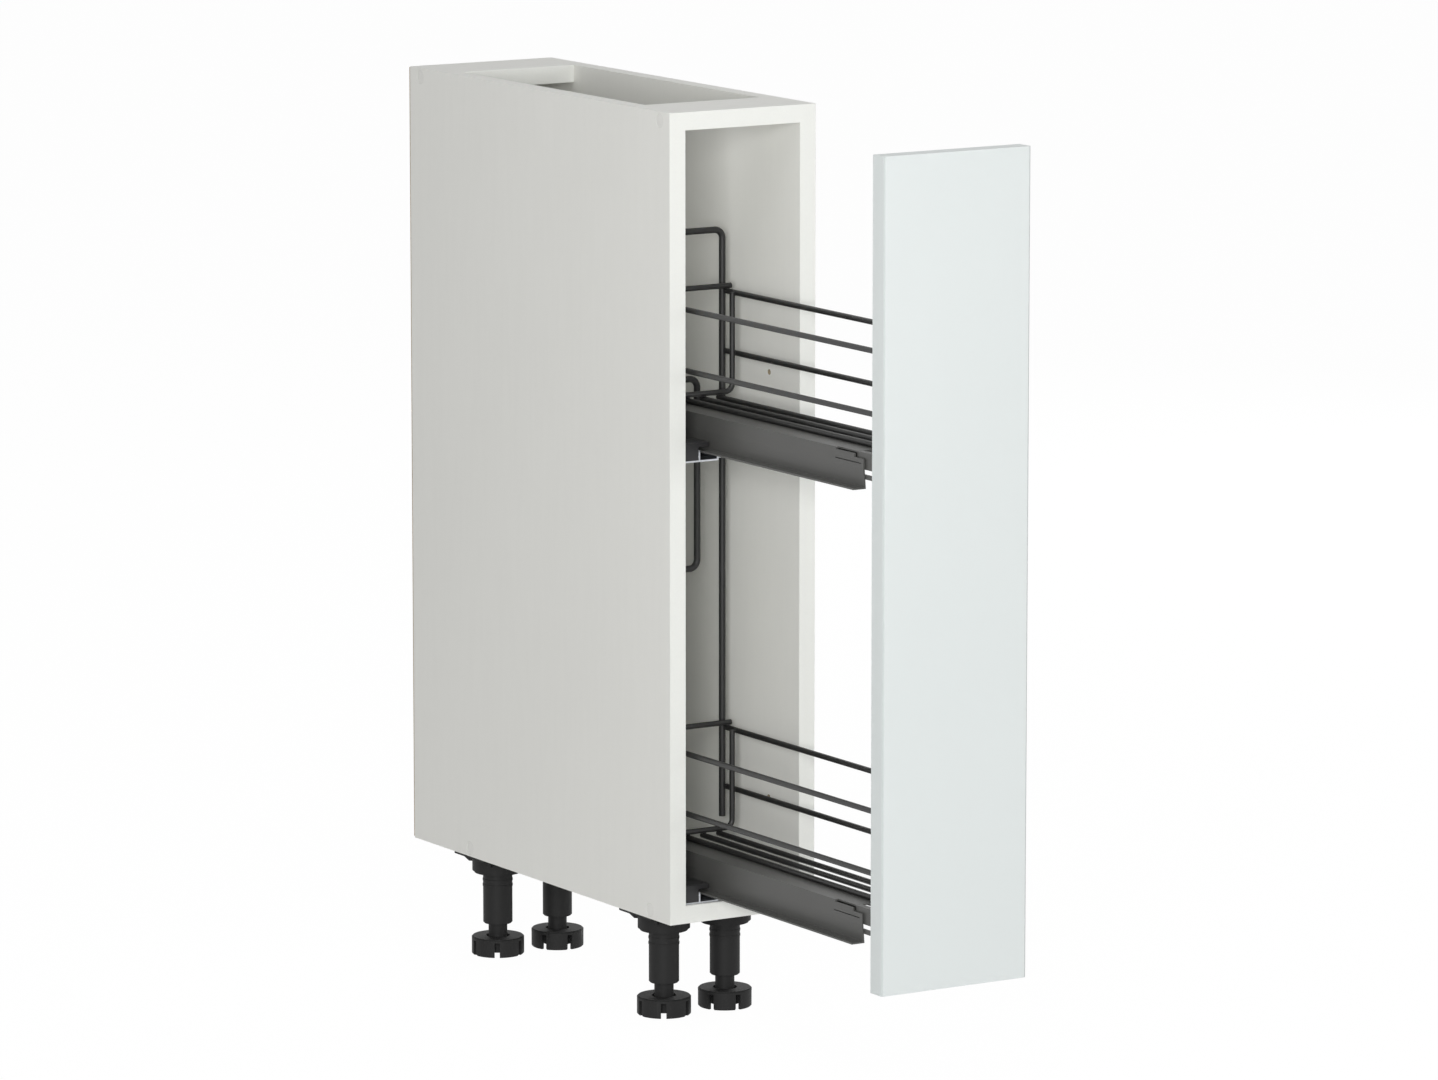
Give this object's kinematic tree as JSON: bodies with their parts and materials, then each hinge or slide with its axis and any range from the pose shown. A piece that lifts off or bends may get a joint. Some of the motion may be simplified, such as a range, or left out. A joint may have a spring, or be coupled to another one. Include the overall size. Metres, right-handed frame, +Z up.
{
  "type": "pull-out kitchen cabinet",
  "caption": "Narrow kitchen base cabinet on screw feet whose front panel draws wire baskets out on telescopic ball runners.",
  "frame": {"origin": "on the floor, at the middle of the footprint of the cabinet with its front pulled out as pictured", "axes": "+X to the right seen from the front, -Y out of the front, +Z up"},
  "size_m": [0.15, 0.801, 0.82],
  "materials": {
    "carcass_board": "white melamine, satin",
    "front_board": "white lacquer, satin",
    "back_board": "white faced fibreboard",
    "edge_band": "satin",
    "white_plastic": "satin",
    "dowel_wood": "raw beech",
    "zinc": "zinc plated",
    "slide_steel": "zinc plated, greased",
    "ball_steel": "polished",
    "channel_paint": "anthracite powder coat",
    "wire_paint": "anthracite powder coat, satin",
    "black_plastic": "moulded, fine grain",
    "soft_plastic": "clear soft plastic"
  },
  "bodies": {
    "carcass": {"left_side_panel": "carcass_board", "right_side_panel": "carcass_board", "bottom_panel": "carcass_board", "top_front_rail": "carcass_board", "top_rear_rail": "carcass_board", "back_panel": "back_board", "edge_bands": "edge_band", "carcass_screws": "zinc", "screw_caps": "white_plastic", "wood_dowels": "dowel_wood", "back_nails": "zinc", "leg_sockets": "black_plastic", "socket_screws": "zinc", "leg_tubes": "black_plastic", "runner_bracket_upper": "slide_steel", "runner_bracket_lower": "slide_steel", "guide_block_upper": "black_plastic", "guide_block_lower": "black_plastic", "outer_member_upper": "slide_steel", "outer_member_lower": "slide_steel", "end_buffers": "black_plastic", "runner_screws": "zinc", "runner_rivets": "zinc"},
    "pull_out": {"front_panel": "front_board", "front_bumpers": "soft_plastic", "front_bracket_upper": "channel_paint", "front_bracket_lower": "channel_paint", "front_bracket_screws": "zinc", "inner_member_upper": "slide_steel", "inner_member_lower": "slide_steel", "channel_upper": "channel_paint", "channel_lower": "channel_paint", "channel_rivets": "zinc", "basket_rails_upper": "wire_paint", "basket_rails_lower": "wire_paint", "basket_hoops_upper": "wire_paint", "basket_hoops_lower": "wire_paint", "basket_floor_upper": "wire_paint", "basket_floor_lower": "wire_paint", "rear_frame": "wire_paint"},
    "middle_member_upper": {"middle_member_upper": "slide_steel"},
    "long_cage_upper": {"long_cage_upper": "slide_steel", "long_balls_upper": "ball_steel"},
    "short_cage_upper": {"short_cage_upper": "slide_steel", "short_balls_upper": "ball_steel"},
    "middle_member_lower": {"middle_member_lower": "slide_steel"},
    "long_cage_lower": {"long_cage_lower": "slide_steel", "long_balls_lower": "ball_steel"},
    "short_cage_lower": {"short_cage_lower": "slide_steel", "short_balls_lower": "ball_steel"},
    "stem_fl": {"foot_stem_fl": "black_plastic"},
    "disc_fl": {"foot_disc_fl": "black_plastic"},
    "stem_fr": {"foot_stem_fr": "black_plastic"},
    "disc_fr": {"foot_disc_fr": "black_plastic"},
    "stem_rl": {"foot_stem_rl": "black_plastic"},
    "disc_rl": {"foot_disc_rl": "black_plastic"},
    "stem_rr": {"foot_stem_rr": "black_plastic"},
    "disc_rr": {"foot_disc_rr": "black_plastic"}
  },
  "joints": [
    {"name": "pull_out_slide", "type": "slide", "parent": "carcass", "child": "pull_out", "axis": [0, -1, 0], "range_m": [-0.321, 0.11]},
    {"name": "middle_member_upper_slide", "type": "slide", "parent": "carcass", "child": "middle_member_upper", "axis": [0, -1, 0], "range_m": [-0.1605, 0.055]},
    {"name": "long_cage_upper_slide", "type": "slide", "parent": "carcass", "child": "long_cage_upper", "axis": [0, -1, 0], "range_m": [-0.08025, 0.0275]},
    {"name": "short_cage_upper_slide", "type": "slide", "parent": "carcass", "child": "short_cage_upper", "axis": [0, -1, 0], "range_m": [-0.24075, 0.0825]},
    {"name": "middle_member_lower_slide", "type": "slide", "parent": "carcass", "child": "middle_member_lower", "axis": [0, -1, 0], "range_m": [-0.1605, 0.055]},
    {"name": "long_cage_lower_slide", "type": "slide", "parent": "carcass", "child": "long_cage_lower", "axis": [0, -1, 0], "range_m": [-0.08025, 0.0275]},
    {"name": "short_cage_lower_slide", "type": "slide", "parent": "carcass", "child": "short_cage_lower", "axis": [0, -1, 0], "range_m": [-0.24075, 0.0825]},
    {"name": "stem_fl_slide", "type": "slide", "parent": "carcass", "child": "stem_fl", "axis": [0, 0, 1], "range_m": [-0.025, 0.0115]},
    {"name": "disc_fl_turn", "type": "hinge", "parent": "stem_fl", "child": "disc_fl", "pos_m": [-0.032, 0.0225, 0], "axis": [0, 0, 1], "range_deg": [-2250, 1035]},
    {"name": "stem_fr_slide", "type": "slide", "parent": "carcass", "child": "stem_fr", "axis": [0, 0, 1], "range_m": [-0.025, 0.0115]},
    {"name": "disc_fr_turn", "type": "hinge", "parent": "stem_fr", "child": "disc_fr", "pos_m": [0.032, 0.0225, 0], "axis": [0, 0, 1], "range_deg": [-2250, 1035]},
    {"name": "stem_rl_slide", "type": "slide", "parent": "carcass", "child": "stem_rl", "axis": [0, 0, 1], "range_m": [-0.025, 0.0115]},
    {"name": "disc_rl_turn", "type": "hinge", "parent": "stem_rl", "child": "disc_rl", "pos_m": [-0.032, 0.3185, 0], "axis": [0, 0, 1], "range_deg": [-2250, 1035]},
    {"name": "stem_rr_slide", "type": "slide", "parent": "carcass", "child": "stem_rr", "axis": [0, 0, 1], "range_m": [-0.025, 0.0115]},
    {"name": "disc_rr_turn", "type": "hinge", "parent": "stem_rr", "child": "disc_rr", "pos_m": [0.032, 0.3185, 0], "axis": [0, 0, 1], "range_deg": [-2250, 1035]}
  ],
  "couplings": [
    {"joint": "middle_member_upper_slide", "follows": "pull_out_slide", "ratio": 0.5},
    {"joint": "long_cage_upper_slide", "follows": "pull_out_slide", "ratio": 0.25},
    {"joint": "short_cage_upper_slide", "follows": "pull_out_slide", "ratio": 0.75},
    {"joint": "middle_member_lower_slide", "follows": "pull_out_slide", "ratio": 0.5},
    {"joint": "long_cage_lower_slide", "follows": "pull_out_slide", "ratio": 0.25},
    {"joint": "short_cage_lower_slide", "follows": "pull_out_slide", "ratio": 0.75},
    {"joint": "disc_fl_turn", "follows": "stem_fl_slide", "rad_per_m": 1570.8},
    {"joint": "disc_fr_turn", "follows": "stem_fr_slide", "rad_per_m": 1570.8},
    {"joint": "disc_rl_turn", "follows": "stem_rl_slide", "rad_per_m": 1570.8},
    {"joint": "disc_rr_turn", "follows": "stem_rr_slide", "rad_per_m": 1570.8}
  ]
}
